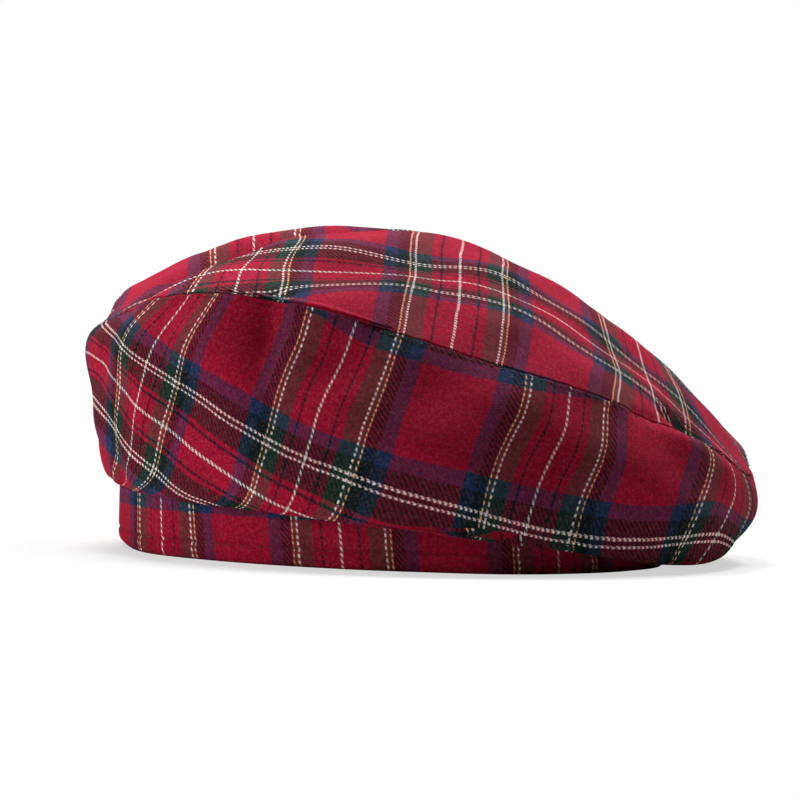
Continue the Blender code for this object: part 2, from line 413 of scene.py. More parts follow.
def front_grain(turn):
    """Warp and weft distance, in mm, for every level of the side at the given turns."""
    table = np.array(FRONT_LIE, float)
    rows = natural(table[:, 0] / 360, table[:, 1:], turn).reshape(-1, 2, 4).transpose(2, 0, 1)
    fine = natural(LIE_LEVELS, rows, np.maximum(SIDE_LEVELS, 1))
    slope = (natural(LIE_LEVELS, rows, [1 + FOLD_STEP]) - rows[0]) / FOLD_STEP
    return fine + slope * UNDER_FOLD * np.minimum(SIDE_LEVELS - 1, 0)[:, None, None]


def back_grain(turn):
    """The back strip, curved to a radius, laid out from its middle by arc length at the belly."""
    belly = np.argmin(abs(SIDE_LEVELS - 2))
    arc, lap = lap_length(side[belly]), turn % 1
    along = np.interp(lap, LAP, arc) - np.interp(BACK_MIDDLE, LAP, arc)
    angle = np.where(lap > BACK_OTHER_WAY, along - arc[-1], along) / BACK_RADIUS
    fall = run_down(side)
    up = np.stack([np.interp(lap, LAP, np.append(row, row[0])) for row in fall[belly] - fall])
    far = BACK_RADIUS + up
    return np.stack([far * np.sin(angle), far * np.cos(angle) - BACK_RADIUS + BACK_WEFT], axis=-1)


def corner_grain():
    """Grain at both corners of every face column: [ring, column, corner, (warp, weft)]."""
    left, right = TURN, TURN + 1 / AROUND
    middle = (left + right) / 2
    is_front = (middle > JOINS[0]) | (middle < JOINS[1] - 1)
    found = []
    for turn in (left, right):
        past_join = turn < JOINS[1] - 1 + 0.5 / AROUND
        front = front_grain(np.where(past_join, turn + 1, turn))
        back = back_grain(turn)
        found.append(np.where(is_front[None, :, None], front, back))
    return np.stack(found, axis=2)


CARRY_FIRST, CARRY_STEP, CARRY_RINGS = 2.0, 1.5, 6  # mm, mm, rings


def carried_on(grain):
    """The grain with that of the allowance: it goes on as it went across the last rings."""
    slope = unit(grain[-1] - grain[-1 - CARRY_RINGS])
    added = [grain[-1] + slope * (CARRY_FIRST + CARRY_STEP * k) for k in range(len(ALLOWANCE))]
    return np.concatenate([grain, added])


side_grain = carried_on(corner_grain())
print("warp runs", side_grain[..., 0].min().round(), "to", side_grain[..., 0].max().round(), "mm")

# %% [markdown]
# The top is one disc, so its threads would run straight in plan, but the folds draw cloth along.
# The table says which warp and weft thread, in mm, lies over each crossing of a coarse net.

# %% Grain of the top
TOP_ACROSS = (-110, -85, -60, -35, -10, 15, 45, 80, 115)
TOP_LIE = {
    -80: [
        (-37, -39), (-10, -40), (18, -46), (41, -59), (64, -72),
        (91, -82), (124, -92), (160, -105), (195, -120),
    ],
    -55: [
        (-41, -10), (-15, -15), (9, -15), (36, -27), (62, -40),
        (87, -44), (122, -49), (159, -63), (198, -81),
    ],
    -32: [
        (-45, -3), (-19, -4), (8, 4), (35, 8), (60, 2),
        (86, -10), (119, -12), (163, -28), (201, -44),
    ],
    -10: [
        (-48, 8), (-23, 15), (3, 22), (33, 32), (60, 34),
        (86, 21), (122, 19), (164, 6), (204, -5),
    ],
    15: [
        (-48, 31), (-22, 38), (6, 42), (33, 48), (59, 55),
        (85, 54), (123, 57), (168, 53), (208, 44),
    ],
    55: [
        (-49, 54), (-20, 58), (7, 62), (33, 69), (60, 83),
        (89, 95), (126, 107), (170, 118), (214, 125),
    ],
    110: [
        (-50, 99), (-22, 101), (6, 106), (34, 115), (62, 129),
        (92, 147), (129, 173), (174, 204), (219, 236),
    ],
}


def top_lie(points):
    """Warp and weft distance for points of the top, from the net of crossings under them."""
    plan = points[..., :2].reshape(-1, 2)
    along = natural(TOP_ACROSS, np.eye(len(TOP_ACROSS)), plan[:, 0])
    back = natural(list(TOP_LIE), np.eye(len(TOP_LIE)), plan[:, 1])
    found = np.einsum("pd,pa,dak->pk", back, along, np.array(list(TOP_LIE.values()), float))
    return found.reshape(points.shape[:-1] + (2,))


top_plan = top_lie(top)
top_corner = np.stack([top_plan, np.roll(top_plan, -1, axis=1)], axis=2)
top_grain = carried_on(top_corner[::-1])[::-1]
print("top warp runs", top_grain[..., 0].min().round(), "to", top_grain[..., 0].max().round(), "mm")

# %% [markdown]
# ## One closed wall of cloth
# Solidify could thicken a sheet, but the inner face would lose the grain near the seams. Two
# skins joined at their edges keep every thread on its place on both faces.

# %% Building a wall from rings
MERGE = 1e-6  # metres; points closer than this are one


def quads(index):
    """The faces of a closed net of points: [ring, column] numbers to corners of each face."""
    right = np.roll(index, -1, axis=1)
    return np.stack([index[:-1], right[:-1], right[1:], index[1:]], axis=-1).reshape(-1, 4)


def quad_grain(grain):
    """The grain at the four corners of each of those faces."""
    low, high = grain[:-1], grain[1:]
    corners = [low[:, :, 0], low[:, :, 1], high[:, :, 1], high[:, :, 0]]
    return np.stack(corners, axis=2).reshape(-1, 4, 2)


def finished(name, points, faces, uv):
    """A mesh object in the model's place, with its grain as a UV map in metres."""
    mesh = bpy.data.meshes.new(name)
    mesh.from_pydata(((points + BAND_MIDDLE) * MM).tolist(), [], faces.tolist())
    layer = mesh.uv_layers.new(name="grain")
    layer.data.foreach_set("uv", (uv * MM).reshape(-1).astype(np.float32))
    closing = bmesh.new()
    closing.from_mesh(mesh)
    bmesh.ops.remove_doubles(closing, verts=closing.verts, dist=MERGE)
    closing.to_mesh(mesh)
    closing.free()
    mesh.shade_smooth()
    piece = bpy.data.objects.new(name, mesh)
    bpy.context.scene.collection.objects.link(piece)
    print(name, sum(len(face.vertices) - 2 for face in mesh.polygons), "triangles")
    return piece


def cloth_wall(name, outer, grain, pole=False):
    """A closed wall from the rings of its outer face; one that ends in a pole has one rim."""
    inner = outer - outward(outer) * CLOTH
    points = np.concatenate([outer.reshape(-1, 3), inner.reshape(-1, 3)])
    outside = np.arange(len(outer) * AROUND).reshape(-1, AROUND)
    inside = outside + outside.size
    first_rim = quads(np.stack([outside[0], inside[0]]))
    first_grain = quad_grain(np.stack([grain[0], grain[0]]))
    faces = [quads(outside), quads(inside)[:, ::-1], first_rim[:, ::-1]]
    uv = [quad_grain(grain), quad_grain(grain)[:, ::-1], first_grain[:, ::-1]]
    if not pole:
        faces.append(quads(np.stack([outside[-1], inside[-1]])))
        uv.append(quad_grain(np.stack([grain[-1], grain[-1]])))
    return finished(name, points, np.concatenate(faces), np.concatenate(uv))


crown_side = cloth_wall("crown_side_cloth", side_outer, side_grain)
crown_top = cloth_wall("crown_top_cloth", top_outer, top_grain, pole=True)

# %% [markdown]
# ## The headband
# A straight strip is folded double along its lower edge, so its section is a long loop: up the
# outside, over the sewn edge, down the inside and round the hem. Drawing the loop once and
# carrying it round the ring is what a curve with a bevel profile does, but here the thread
# directions come with it.

# %% The loop of the doubled strip
BAND_CLOTH = 2.4
HEM_PROFILE = [(0.5, 0.7), (0.15, 1.8), (0.0, 3.2)]  # inset and height of the rounded hem
HEM_LINE, GROOVE_DEEP, GROOVE_HALF = 5.5, 0.5, 0.7  # the stitched groove round the hem
TOP_EDGE = (0.2, 31.3)
BAND_HEIGHTS = np.concatenate(
    [[4.0, 4.6], np.arange(5.0, 6.3, 0.25), [6.7, 7.3], np.linspace(8, 30, 23)]
)


def band_loop():
    """(inset from the outer face, height) round the doubled strip."""
    rising = [(GROOVE_DEEP * swell(z - HEM_LINE, GROOVE_HALF), z) for z in BAND_HEIGHTS]
    outside = HEM_PROFILE + rising + [TOP_EDGE]
    inside = [(BAND_CLOTH - inset, z) for inset, z in outside[::-1]]
    middle = BAND_CLOTH / 2
    return np.array([(middle, 0.0)] + outside + [(middle, BAND_TALL)] + inside)


# %% The band's soft waves and the curl of its hem
BAND_WAVE = 0.35
BAND_WAVES = ((9, 1.0, 0.5), (14, 0.7, 2.1))  # waves round the band, share, start
CURL, CURL_HALF, CURL_HIGH = 2.0, 14.0, 6.0  # mm, degrees, mm; the hem curls up at the long end


def band_face(height):
    """The band's reach with soft waves that grow towards its free edge."""
    free = np.clip((BAND_TALL - height) / BAND_TALL, 0, 1)
    swing = sum(share * np.sin(2 * np.pi * n * TURN + start) for n, share, start in BAND_WAVES)
    return band_reach() + BAND_WAVE * free * swing


def curled(rings):
    """The rings lifted at the long end, most at the floor."""
    lift = CURL * swell(degrees_from(0.5), CURL_HALF) * swell(rings[..., 2], CURL_HIGH)
    return rings + lift[..., None] * np.array([0.0, 0.0, 1.0])


# %% The doubled band
BAND_SETT_STRETCH, BAND_LEAN = 1.05, 0.12  # the stripes' spacing, and how they lean
FIRST_STRIPE_TURN, STRIPE_HEIGHT, FULL_UP = 249.3 / 360, 14.0, 47.1
HEM_TURN = 1.4  # mm of cloth from the loop's last point round the hem to its first


def make_band():
    """The loop carried round the ring, with its threads running on past the seam at the back."""
    loop = band_loop()
    rings = curled(np.array([ring(band_face(z) - inset, z) for inset, z in loop]))
    closed = np.concatenate([rings, rings[:1]])
    arc = lap_length(ring(band_reach(), 0))
    start = np.interp(FIRST_STRIPE_TURN, LAP, arc)
    lap = np.where(np.arange(AROUND) < AROUND // 4, arc[-1], 0)
    warp = (np.stack([arc[:-1], arc[1:]], axis=-1) + lap[:, None] - start) * BAND_SETT_STRETCH
    heights = np.append(loop[:, 1], loop[0, 1])
    run = np.cumsum(np.linalg.norm(np.diff(loop, axis=0), axis=1))
    weft = np.concatenate([[0], run, [run[-1] + HEM_TURN]]) + FULL_UP
    grain = np.zeros((len(closed), AROUND, 2, 2))
    grain[..., 0] = warp[None] + BAND_LEAN * (heights - STRIPE_HEIGHT)[:, None, None]
    grain[..., 1] = weft[:, None, None]
    index = np.arange(len(closed) * AROUND).reshape(-1, AROUND)
    return finished("headband_cloth", closed.reshape(-1, 3), quads(index), quad_grain(grain))


headband = make_band()

# %% [markdown]
# ## Colour and nodes
# Colours are written as they look on a screen and turned to light values once. One small helper
# adds a node, sets it and links it, so each material below reads as a list of what it does.

# %% Helpers for materials
MATH, VECTOR, RANGE = "ShaderNodeMath", "ShaderNodeVectorMath", "ShaderNodeMapRange"
MIX, NOISE, SPLIT = "ShaderNodeMix", "ShaderNodeTexNoise", "ShaderNodeSeparateXYZ"


def linear(code):
    """The light values of an sRGB hex colour."""
    parts = [int(code[i : i + 2], 16) / 255 for i in (1, 3, 5)]
    light = [c / 12.92 if c <= 0.04045 else ((c + 0.055) / 1.055) ** 2.4 for c in parts]
    return (*light, 1.0)


def add(tree, kind, links=None, **settings):
    """Adds a node; links gives each input, by name or number, a value, an output or a node."""
    node = tree.nodes.new(kind)
    for key, value in settings.items():
        setattr(node, key, value)
    for key, value in (links or {}).items():
        if isinstance(value, bpy.types.Node):
            value = value.outputs[0]
        if isinstance(value, bpy.types.NodeSocket):
            tree.links.new(value, node.inputs[key])
        else:
            node.inputs[key].default_value = value
    return node


def coated(material, colour, relief, **constants):
    """Gives a material's shader its colour, its relief and the numbers that never vary."""
    tree = material.node_tree
    shader = tree.nodes["Principled BSDF"]
    tree.links.new(colour, shader.inputs["Base Color"])
    tree.links.new(relief.outputs[0], shader.inputs["Normal"])
    for name, value in constants.items():
        shader.inputs[name.replace("_", " ")].default_value = value
    return material


# %% [markdown]
# ## The tartan
# The pattern is one list of threads, mirrored at its white line and at the middle of the big red
# square, and repeated. The warp and the weft use nearly the same list. The cloth is a 2/2 twill:
# each thread passes over two and under two, one step further in every row, which gives the
# diagonal lines where two colours cross and solid squares where a colour crosses itself. An
# image would be simpler, but a weave worked out from thread counts stays sharp at any size.

# %% Thread counts and colours
Yarn = namedtuple("Yarn", "colour nap")  # nap: how far it hides the weave
YARN = {
    "red": Yarn("#ad1435", 1.0),
    "black": Yarn("#102025", 0.38),
    "green": Yarn("#2c4639", 0.65),
    "blue": Yarn("#25385d", 0.62),
    "white": Yarn("#fff0ea", 0.14),
    "yellow": Yarn("#ffcc92", 0.14),
    "bottle": Yarn("#12281e", 0.52),  # the weft's green, painted darker than the warp's to stand for the shade near the fold
    "jet": Yarn("#102025", 0.58),  # the weft's black: more nap, so its crossings are painted darker, for the shade near the fold
}
WARP_PITCH, WEFT_PITCH = 0.437, 0.494  # mm from thread to thread
WARP_SETT = [
    ("white", 0.5), ("red", 13), ("black", 2), ("red", 6), ("green", 12), ("white", 1),
    ("green", 3), ("yellow", 1), ("black", 9), ("blue", 10), ("red", 26),
]
# the weft's green and black are painted darker than the warp's, as shade
WEFT_SETT = [
    ("white", 0.5), ("red", 12), ("jet", 2), ("red", 3), ("bottle", 13), ("white", 1),
    ("bottle", 3), ("white", 1), ("jet", 10), ("blue", 10), ("red", 35),
]
print("warp repeat, mm:", round(2 * sum(n for _, n in WARP_SETT) * WARP_PITCH, 1))
print("weft repeat, mm:", round(2 * sum(n for _, n in WEFT_SETT) * WEFT_PITCH, 1))

# %% [markdown]
# A colour ramp with hard steps turns a place in the pattern into its yarn. A lone pale thread
# looks wider than it is, because it bulges and glows between dark ones, so a second ramp holds
# how far a place beside it steps sideways onto it.

# %% Ramps for the stripes
LINE_SPREAD = {"white": 0.25, "yellow": 0.3}  # threads that a lone pale thread takes on each side


def constant_ramp(tree, place, stops):
    """A ramp with one hard step for each (start, colour) pair."""
    ramp = add(tree, "ShaderNodeValToRGB", {0: place})
    ramp.color_ramp.interpolation = "CONSTANT"
    steps = ramp.color_ramp.elements
    steps.remove(steps[-1])
    for i, (start, colour) in enumerate(stops):
        stop = steps.new(start) if i else steps[0]
        stop.position, stop.color = start, colour
    return ramp.outputs


def stripe_ramps(tree, place, sett):
    """Two ramps over half a repeat: the yarns with their nap, and the sidestep about 0.5."""
    half, start, spread_before = sum(count for _, count in sett), 0.0, 0.0
    yarns, steps = [], [(0.0, 0.5)]
    for yarn, count in sett:
        spread = LINE_SPREAD[yarn] if count <= 1 else 0.0
        first = start - spread + spread_before if start else 0.0
        yarns.append((first / half, linear(YARN[yarn].colour)[:3] + (YARN[yarn].nap,)))
        if spread and start:
            steps += [((start - spread) / half, 0.5 + spread), (start / half, 0.5)]
        start += count
        if spread:
            steps += [(start / half, 0.5 - spread), ((start + spread) / half, 0.5)]
        spread_before = spread
    grey = [(at, (level, level, level, 1.0)) for at, level in steps]
    return constant_ramp(tree, place, yarns), constant_ramp(tree, place, grey)[0]


# %% [markdown]
# ## From threads to a brushed twill
# The grain on each piece says which thread runs where. Four steps follow it: the threads wander
# and fray a little, each direction finds its yarn, the 2/2 rule says which of the two lies on
# top, and the brushed nap blends them. Dark yarns stay dark under their nap, brighter ones mix.

# %% Where the threads run
WANDERS = ((0.05, 3.0, 1.6), (1.1, 2.0, 1.3))  # waves a thread, detail, reach in threads


def running_threads(tree):
    """Thread numbers along warp and weft: a slow drift, and edges frayed by single fibres."""
    grain = add(tree, "ShaderNodeUVMap", uv_map="grain")
    pitch = (1 / (WARP_PITCH * MM), 1 / (WEFT_PITCH * MM), 0)
    threads = add(tree, VECTOR, {0: grain, 1: pitch}, operation="MULTIPLY")
    wavy = threads
    for waves, detail, reach in WANDERS:
        noise = add(tree, NOISE, {"Vector": threads, "Scale": waves, "Detail": detail})
        shift = {0: noise.outputs["Color"], 1: (-0.5, -0.5, 0)}
        drift = add(tree, VECTOR, {0: add(tree, VECTOR, shift), "Scale": reach}, operation="SCALE")
        wavy = add(tree, VECTOR, {0: wavy, 1: drift})
    return add(tree, SPLIT, {0: wavy}).outputs


def yarn_at(tree, running, sett):
    """The yarn and nap at a thread number, and the number after its sidestep."""
    half = float(sum(count for _, count in sett))
    centred = add(tree, MATH, {0: running, 1: 0.5}, operation="SUBTRACT")
    mirrored = add(tree, MATH, {0: centred, 1: half}, operation="PINGPONG")
    place = add(tree, MATH, {0: mirrored, 1: half}, operation="DIVIDE")
    yarn, sidestep = stripe_ramps(tree, place, sett)
    lap = add(tree, MATH, {0: centred, 1: 2 * half}, operation="FLOORED_MODULO")
    rising = add(tree, MATH, {0: lap, 1: half}, operation="LESS_THAN")
    facing = add(tree, RANGE, {0: rising, 3: -1.0, 4: 1.0})
    shift = add(tree, MATH, {0: sidestep, 1: 0.5}, operation="SUBTRACT")
    shift = add(tree, MATH, {0: shift, 1: facing}, operation="MULTIPLY")
    return yarn, add(tree, MATH, {0: running, 1: shift})


# %% Which thread lies on top
OVER = 2.0  # threads that each one passes over, and as many under


def twill(tree, warp, weft):
    """1 where the warp lies on top and 0 where the weft does, and the height of that thread."""
    woven = add(tree, "ShaderNodeCombineXYZ", {0: warp, 1: weft})
    number = add(tree, SPLIT, {0: add(tree, VECTOR, {0: woven}, operation="FLOOR")}).outputs
    part = add(tree, SPLIT, {0: add(tree, VECTOR, {0: woven}, operation="FRACTION")}).outputs
    step = add(tree, MATH, {0: number[0], 1: number[1]})
    step = add(tree, MATH, {0: step, 1: 2 * OVER}, operation="FLOORED_MODULO")
    warp_up = add(tree, MATH, {0: step, 1: OVER - 0.5}, operation="LESS_THAN")
    run = add(tree, MATH, {0: step, 1: OVER}, operation="FLOORED_MODULO")
    along = add(tree, MIX, {0: warp_up, 2: part[0], 3: part[1]})
    across = add(tree, MIX, {0: warp_up, 2: part[1], 3: part[0]})
    along = add(tree, MATH, {0: run, 1: along})
    arch = add(tree, MATH, {0: along, 1: math.pi / OVER}, operation="MULTIPLY")
    barrel = add(tree, MATH, {0: across, 1: math.pi}, operation="MULTIPLY")
    arch, barrel = (add(tree, MATH, {0: bow}, operation="SINE") for bow in (arch, barrel))
    return warp_up, add(tree, MATH, {0: arch, 1: barrel}, operation="MULTIPLY")


# %% How the nap blends the two yarns
DARK_YARN, BRIGHT_YARN = 0.022, 0.062  # lightness at which a crossing stays dark, or mixes


def brushed(tree, warp_up, warp, weft):
    """The colour of the thread on top, under the nap of both threads."""
    (warp_yarn, warp_nap), (weft_yarn, weft_nap) = warp, weft
    top = add(tree, MIX, {0: warp_up, 6: weft_yarn, 7: warp_yarn}, data_type="RGBA").outputs[2]
    even = add(tree, MIX, {0: 0.5, 6: warp_yarn, 7: weft_yarn}, data_type="RGBA").outputs[2]
    dark = add(tree, VECTOR, {0: warp_yarn, 1: weft_yarn}, operation="MULTIPLY")
    dark = add(tree, VECTOR, {0: dark, 1: (0.5, 0.5, 0.5)}, operation="POWER")
    grey = [add(tree, "ShaderNodeRGBToBW", {0: yarn}) for yarn in (warp_yarn, weft_yarn)]
    darkest = add(tree, MATH, {0: grey[0], 1: grey[1]}, operation="MINIMUM")
    mixing = add(tree, RANGE, {0: darkest, 1: DARK_YARN, 2: BRIGHT_YARN})
    nap = add(tree, MIX, {0: mixing, 6: dark, 7: even}, data_type="RGBA").outputs[2]
    cover = add(tree, MATH, {0: warp_nap, 1: weft_nap}, operation="MINIMUM")
    return add(tree, MIX, {0: cover, 6: top, 7: nap}, data_type="RGBA").outputs[2]


# %% Tartan twill: brushed wool and cotton, 2/2 twill weave, lightly raised nap
Speckle = namedtuple("Speckle", "per_metre detail seed_step start end low high")
FIBRES = Speckle(1700.0, 2.0, 0, 0.3, 0.7, 0.78, 1.22)  # 0.6 mm, as fine as the render shows
TUFTS = Speckle(600.0, 2.0, 10, 0.3, 0.7, 0.78, 1.22)  # 1.7 mm tufts of the raised nap
CLOUDS = Speckle(70.0, 3.0, 0, 0.3, 0.7, 0.94, 1.06)  # 14 mm patches, from handling
LINT = Speckle(1100.0, 3.0, 20, 0.48, 0.78, 0.0, 0.13)  # pale lint that clings to the wool
# the colour's tone at a thread's lowest and highest point: painted shade between the threads and a
# faint painted highlight on their crowns
LINT_COLOUR, THREAD_GAP_SHADE, THREAD_CROWN_HIGHLIGHT, RELIEF = "#b98a8a", 0.72, 1.06, 0.12


def speckled(tree, seed, kind):
    """Noise through the cloth, and the tone that it gives."""
    place = add(tree, "ShaderNodeTexCoord").outputs["Object"]
    links = {"Vector": place, "Scale": kind.per_metre, "Detail": kind.detail}
    noise = add(tree, NOISE, dict(links, W=seed + kind.seed_step), noise_dimensions="4D")
    tone = {0: noise, 1: kind.start, 2: kind.end, 3: kind.low, 4: kind.high}
    return noise, add(tree, RANGE, tone)


def tartan_twill(name, seed):
    """Brushed wool blend: matt, with a faint soft sheen where the nap catches light edge-on."""
    material = bpy.data.materials.new(name)
    material.use_nodes = True
    tree = material.node_tree
    running = running_threads(tree)
    warp_yarn, warp = yarn_at(tree, running[0], WARP_SETT)
    weft_yarn, weft = yarn_at(tree, running[1], WEFT_SETT)
    warp_up, height = twill(tree, warp, weft)
    colour = brushed(tree, warp_up, warp_yarn, weft_yarn)
    fibres, fibre_tone = speckled(tree, seed, FIBRES)
    # painted shade and highlight of the weave: the colour darker where a thread dips between its
    # neighbours, a little lighter on its crown
    tone = add(tree, RANGE, {0: height, 3: THREAD_GAP_SHADE, 4: THREAD_CROWN_HIGHLIGHT})
    for other in (fibre_tone, speckled(tree, seed, CLOUDS)[1], speckled(tree, seed, TUFTS)[1]):
        tone = add(tree, MATH, {0: tone, 1: other}, operation="MULTIPLY")
    toned = add(tree, VECTOR, {0: colour, "Scale": tone}, operation="SCALE").outputs[0]
    linted = {0: speckled(tree, seed, LINT)[1], 6: toned, 7: linear(LINT_COLOUR)}
    colour = add(tree, MIX, linted, data_type="RGBA").outputs[2]
    rough = add(tree, MATH, {0: height, 1: 0.6}, operation="MULTIPLY")
    rough = add(tree, MATH, {0: rough, 1: fibres})
    bumps = {"Height": rough, "Strength": 0.5, "Distance": RELIEF * MM}
    relief = add(tree, "ShaderNodeBump", bumps)
    return coated(
        material, colour, relief,
        Roughness=0.92, Sheen_Weight=0.02, Sheen_Roughness=0.35, Specular_IOR_Level=0.03,
    )


for piece, seed in ((crown_side, 1.0), (crown_top, 2.0), (headband, 3.0)):
    piece.data.materials.append(tartan_twill(piece.name + " brushed twill", seed))
    print(piece.name, "wears", piece.data.materials[0].name)

# %% [markdown]
# ## Sewing threads
# Two lines of machine stitches show: one round the hem of the band, in red that matches, and a dark
# one on the side just below the seam of the top. One stitch is a short thread that dives in at both
# ends. Geometry Nodes set it along a path at the machine's stitch length, each a little uneven.

# %% A tree that sets stitches along a path
STITCH_INPUTS = {
    "Path": "Geometry", "Pitch": "Float", "Stitch length": "Float", "Thread width": "Float",
    "Unevenness": "Float", "Thread": "Material",
}
STITCH_SEED, STITCH_SIDES, STITCH_RINGS = 5, 6, 5


def stitch_tree():
    """A rounded stitch at every pitch along the path, turned by up to the unevenness."""
    tree = bpy.data.node_groups.new("stitches along a path", "GeometryNodeTree")
    tree.is_modifier = True
    sockets = {}
    for name, kind in STITCH_INPUTS.items():
        socket = tree.interface.new_socket(name, in_out="INPUT", socket_type="NodeSocket" + kind)
        sockets[name] = socket.identifier
    tree.interface.new_socket("Stitches", in_out="OUTPUT", socket_type="NodeSocketGeometry")
    given_in = add(tree, "NodeGroupInput").outputs
    uneven, width = given_in["Unevenness"], given_in["Thread width"]
    curve = add(tree, "GeometryNodeMeshToCurve", {0: given_in["Path"]})
    pitch = {0: curve, "Length": given_in["Pitch"]}
    places = add(tree, "GeometryNodeCurveToPoints", pitch, mode="LENGTH").outputs
    ahead = {"Vector": places["Tangent"]}
    along = add(tree, "FunctionNodeAlignRotationToVector", ahead, axis="Z")
    low = add(tree, MATH, {0: uneven, 1: -1.0}, operation="MULTIPLY")
    between = {0: low, 1: uneven, "Seed": STITCH_SEED}
    tilt = add(tree, "FunctionNodeRandomValue", between, data_type="FLOAT_VECTOR")
    turn = {0: along, 1: tilt}
    turned = add(tree, "FunctionNodeRotateRotation", turn, rotation_space="LOCAL")
    ball = {"Segments": STITCH_SIDES, "Rings": STITCH_RINGS, "Radius": 0.5}
    one = add(tree, "GeometryNodeMeshUVSphere", ball)
    size = add(tree, "ShaderNodeCombineXYZ", {0: width, 1: width, 2: given_in["Stitch length"]})
    row = {"Points": places[0], "Instance": one, "Rotation": turned, "Scale": size}
    rows = add(tree, "GeometryNodeInstanceOnPoints", row)
    real = add(tree, "GeometryNodeRealizeInstances", {0: rows})
    smooth = add(tree, "GeometryNodeSetShadeSmooth", {0: real})
    dressed = add(tree, "GeometryNodeSetMaterial", {0: smooth, "Material": given_in["Thread"]})
    add(tree, "NodeGroupOutput", {0: dressed})
    return tree, sockets


# %% Stitches as one plain mesh
STITCHING, STITCH_SOCKETS = stitch_tree()


def stitches(name, rings, thread, **sizes):
    """Stitches along closed rings of points, as one plain mesh."""
    points = (np.concatenate(rings) + BAND_MIDDLE) * MM
    index = np.arange(len(points)).reshape(-1, AROUND)
    edges = np.stack([index, np.roll(index, -1, axis=1)], axis=-1).reshape(-1, 2)
    path = bpy.data.meshes.new(name + " path")
    path.from_pydata(points.tolist(), edges.tolist(), [])
    carrier = bpy.data.objects.new(name + " path", path)
    bpy.context.scene.collection.objects.link(carrier)
    modifier = carrier.modifiers.new("stitches", "NODES")
    modifier.node_group = STITCHING
    for key, value in dict(sizes, Thread=thread).items():
        modifier[STITCH_SOCKETS[key.replace("_", " ")]] = value
    done = carrier.evaluated_get(bpy.context.evaluated_depsgraph_get())
    made = bpy.data.meshes.new_from_object(done)
    bpy.data.objects.remove(carrier)
    made.name = name
    piece = bpy.data.objects.new(name, made)
    bpy.context.scene.collection.objects.link(piece)
    print(name, len(made.polygons), "faces")
    return piece


# %% Sewing thread: spun polyester, two strands twisted, slightly shiny
TWISTS_PER_METRE = 900.0
TWIST = {"Scale": TWISTS_PER_METRE, "Distortion": 2.0, "Detail": 1.0}


def sewing_thread(name, code):
    """Twisted polyester: smoother than the cloth, with the twist as fine slanted ridges."""
    material = bpy.data.materials.new(name)
    material.use_nodes = True
    tree = material.node_tree
    place = add(tree, "ShaderNodeTexCoord").outputs["Object"]
    twist = add(tree, "ShaderNodeTexWave", dict(TWIST, Vector=place)).outputs[1]
    # painted shade in the grooves between the two strands and a painted highlight on their ridges,
    # from the same twist that gives the relief
    tone = add(tree, RANGE, {0: twist, 3: 0.7, 4: 1.2})
    colour = add(tree, VECTOR, {0: linear(code)[:3], "Scale": tone}, operation="SCALE").outputs[0]
    relief = add(tree, "ShaderNodeBump", {"Height": twist, "Strength": 0.6, "Distance": 0.06 * MM})
    return coated(material, colour, relief, Roughness=0.6, Specular_IOR_Level=0.3)


# %% Setting both lines of stitches
SEAM_LINE = np.argmin(abs(SIDE_LEVELS - 2.95))
THREAD_WIDTH, MACHINE_PITCH = 0.42 * MM, 3.3 * MM
hem_rings = [
    curled(ring(band_face(HEM_LINE) - inset, HEM_LINE))
    for inset in (GROOVE_DEEP, BAND_CLOTH - GROOVE_DEEP)
]
hem_stitches = stitches(
    "hem_stitches", hem_rings, sewing_thread("red polyester thread", "#6e0f26"),
    Pitch=MACHINE_PITCH, Stitch_length=2.3 * MM, Thread_width=THREAD_WIDTH, Unevenness=0.06,
)
seam_stitches = stitches(
    "seam_stitches", [side_outer[SEAM_LINE]], sewing_thread("navy polyester thread", "#201429"),
    Pitch=MACHINE_PITCH, Stitch_length=1.4 * MM, Thread_width=THREAD_WIDTH, Unevenness=0.35,
)

# %% [markdown]
# ## Floor, light and camera
# The hat lies on a white table in a bright room, as in a catalogue picture. Two lamps high behind
# it light the top and leave the front in soft shade, a low one on the left brushes along the side
# and the band, and a weak one in front keeps the folds open. The floor and the surround look white
# to the camera, but throw little light on the cloth, or its reds would turn pale from below.

# %% Floor
FLOOR_CORNERS = [(-6, -3, 0), (6, -3, 0), (6, 12, 0), (-6, 12, 0)]
GLOW_FROM, GLOW_TO, GLOW_NEAR = 0.10, 0.2, 0.6  # metres from the middle, and its share there


def make_floor():
    """Matt paper that fades into plain white away from the hat, and throws a little less light."""
    mesh = bpy.data.meshes.new("studio_floor")
    mesh.from_pydata(FLOOR_CORNERS, [], [(0, 1, 2, 3)])
    floor = bpy.data.objects.new("studio_floor", mesh)
    bpy.context.scene.collection.objects.link(floor)
    paper = bpy.data.materials.new("matt white paper")
    paper.use_nodes = True
    tree = paper.node_tree
    pale = tree.nodes["Principled BSDF"]
    pale.inputs["Base Color"].default_value = linear("#f7f7f7")
    pale.inputs["Roughness"].default_value = 0.95
    place = add(tree, "ShaderNodeTexCoord").outputs["Object"]
    far = add(tree, VECTOR, {0: place}, operation="LENGTH").outputs[1]
    reach = {0: far, 1: GLOW_FROM, 2: GLOW_TO, 3: GLOW_NEAR, 4: 1.0}
    bright = add(tree, RANGE, reach, interpolation_type="SMOOTHSTEP")
    glow = add(tree, "ShaderNodeEmission", {"Color": linear("#ffffff")})
    seen = add(tree, "ShaderNodeMixShader", {0: bright, 1: pale, 2: glow})
    dim = add(tree, "ShaderNodeBsdfDiffuse", {"Color": linear("#d4d4d4")})
    camera_ray = add(tree, "ShaderNodeLightPath").outputs["Is Camera Ray"]
    both = add(tree, "ShaderNodeMixShader", {0: camera_ray, 1: dim, 2: seen})
    tree.links.new(both.outputs[0], tree.nodes["Material Output"].inputs["Surface"])
    mesh.materials.append(paper)


make_floor()

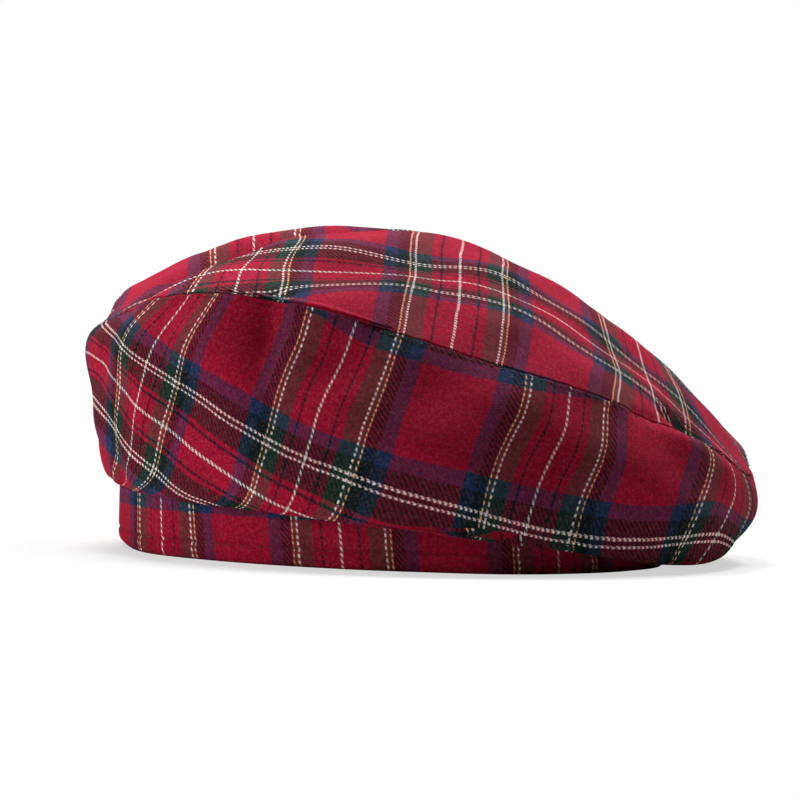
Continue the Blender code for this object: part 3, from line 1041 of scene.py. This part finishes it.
# %% Lights
Lamp = namedtuple("Lamp", "name place size watts")
LAMPS = [
    Lamp("high light behind", (0.4, 0.7, 1.2), 0.5, 17.5),
    Lamp("high light behind left", (-0.25, 0.7, 1.3), 0.5, 22.0),
    Lamp("left light", (-1.3, -0.48, 0.22), 0.6, 11.5),
    Lamp("front fill", (0, -1.5, 0.8), 0.9, 0.3),
]
LIT_POINT = Vector((0, 0, 0.05))
SURROUND_LIGHT, SURROUND_SEEN = 0.02, 1.0

for lamp in LAMPS:
    disk = bpy.data.lights.new(lamp.name, "AREA")
    disk.shape, disk.size, disk.energy = "DISK", lamp.size, lamp.watts
    light = bpy.data.objects.new(lamp.name, disk)
    light.location = lamp.place
    light.rotation_euler = (LIT_POINT - Vector(lamp.place)).to_track_quat("-Z", "Y").to_euler()
    bpy.context.scene.collection.objects.link(light)
world = bpy.data.worlds.new("pale surround")
world.use_nodes = True
sky = world.node_tree
camera_ray = add(sky, "ShaderNodeLightPath").outputs["Is Camera Ray"]
strength = add(sky, RANGE, {0: camera_ray, 3: SURROUND_LIGHT, 4: SURROUND_SEEN}).outputs[0]
sky.links.new(strength, sky.nodes["Background"].inputs["Strength"])
sky.nodes["Background"].inputs["Color"].default_value = linear("#ffffff")
bpy.context.scene.world = world
bpy.context.scene.view_settings.view_transform = "Standard"
print("lamps:", ", ".join(lamp.name for lamp in LAMPS))

# %% Camera: along +Y, a little down, and rolled so that the hem slopes as it does in the picture
LOOK_AT, LOOK_FROM = (-15.4, 0.0, 50.5), 1.25  # mm from the band's middle; metres away
DOWN, ROLL = math.radians(1.38), math.radians(1.76)
PICTURE_WIDE, FOCAL, SENSOR = 800, 3784, 36.0  # pixels, pixels, mm


def make_camera():
    """A long lens, far enough away to keep the hat's proportions nearly flat."""
    target = (Vector(LOOK_AT) + Vector(BAND_MIDDLE)) * MM
    ahead = Vector((0, math.cos(DOWN), -math.sin(DOWN)))
    level, lift = Vector((1, 0, 0)), Vector((0, math.sin(DOWN), math.cos(DOWN)))
    right = math.cos(ROLL) * level + math.sin(ROLL) * lift
    up = math.cos(ROLL) * lift - math.sin(ROLL) * level
    camera = bpy.data.objects.new("camera", bpy.data.cameras.new("camera"))
    axes = Matrix((right, up, -ahead)).transposed().to_4x4()
    camera.matrix_world = Matrix.Translation(target - ahead * LOOK_FROM) @ axes
    camera.data.sensor_width, camera.data.lens = SENSOR, SENSOR * FOCAL / PICTURE_WIDE
    bpy.context.scene.collection.objects.link(camera)
    bpy.context.scene.camera = camera


make_camera()
print("lens, mm:", round(bpy.context.scene.camera.data.lens, 1))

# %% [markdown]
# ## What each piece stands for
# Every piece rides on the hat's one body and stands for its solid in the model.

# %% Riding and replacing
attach(crown_side, "root")
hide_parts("crown_side")
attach(crown_top, "root")
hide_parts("crown_top")
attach(headband, "root")
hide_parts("headband")
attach(hem_stitches, "root")
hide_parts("headband")
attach(seam_stitches, "root")
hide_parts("crown_side")
